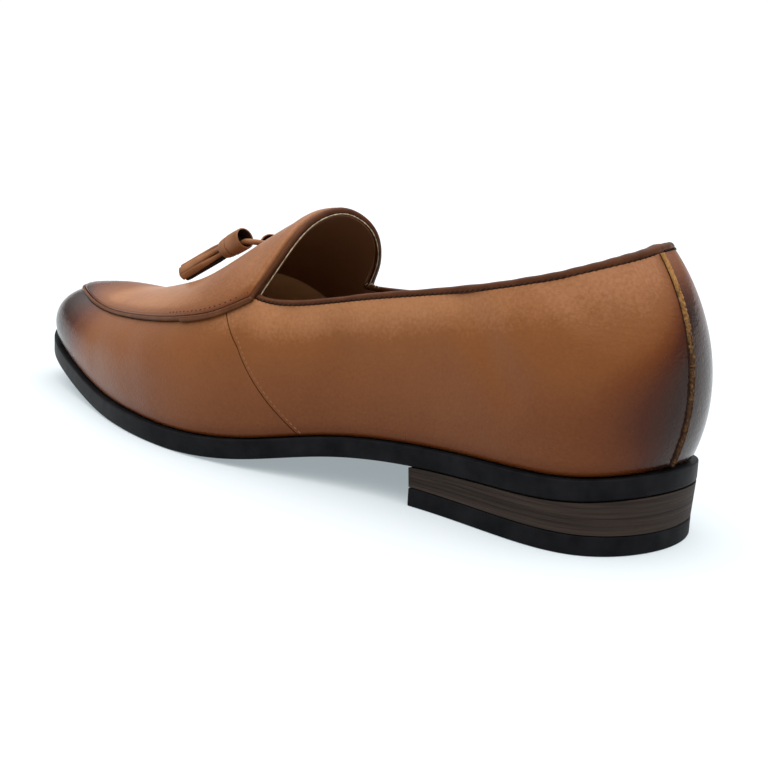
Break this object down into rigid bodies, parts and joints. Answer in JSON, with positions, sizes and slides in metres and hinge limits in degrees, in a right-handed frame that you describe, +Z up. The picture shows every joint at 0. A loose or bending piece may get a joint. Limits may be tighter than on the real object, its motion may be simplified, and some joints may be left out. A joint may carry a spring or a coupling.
{
  "type": "slip-on shoe",
  "caption": "Low slip-on loafer with a raised apron, bound edges, tassels on the vamp, a flat black sole and a low stacked heel; the foot goes in at the collar.",
  "frame": {"origin": "on the floor, under the middle of the shoe's box", "axes": "+X from the toe towards the heel, +Y towards the inner side of the foot, +Z up"},
  "size_m": [0.3036, 0.0938, 0.0849],
  "materials": {
    "sole_black": "satin",
    "heel_stack": "stacked layers, waxed",
    "lift_black": "matte",
    "sock_leather": "matte",
    "upper_leather": "smooth, burnished darker at toe and heel",
    "apron_leather": "smooth",
    "trim_leather": "smooth",
    "raw_edge_leather": "raw edge",
    "tassel_leather": "smooth"
  },
  "bodies": {
    "root": {"outsole": "sole_black", "heel_stack": "heel_stack", "top_lift": "lift_black", "insole": "sock_leather", "upper": "upper_leather", "apron": "apron_leather", "apron_piping": "trim_leather", "collar_binding": "trim_leather", "back_seam": "raw_edge_leather", "tassel_tie": "tassel_leather", "tassel_lateral": "tassel_leather", "tassel_medial": "tassel_leather"}
  },
  "joints": []
}
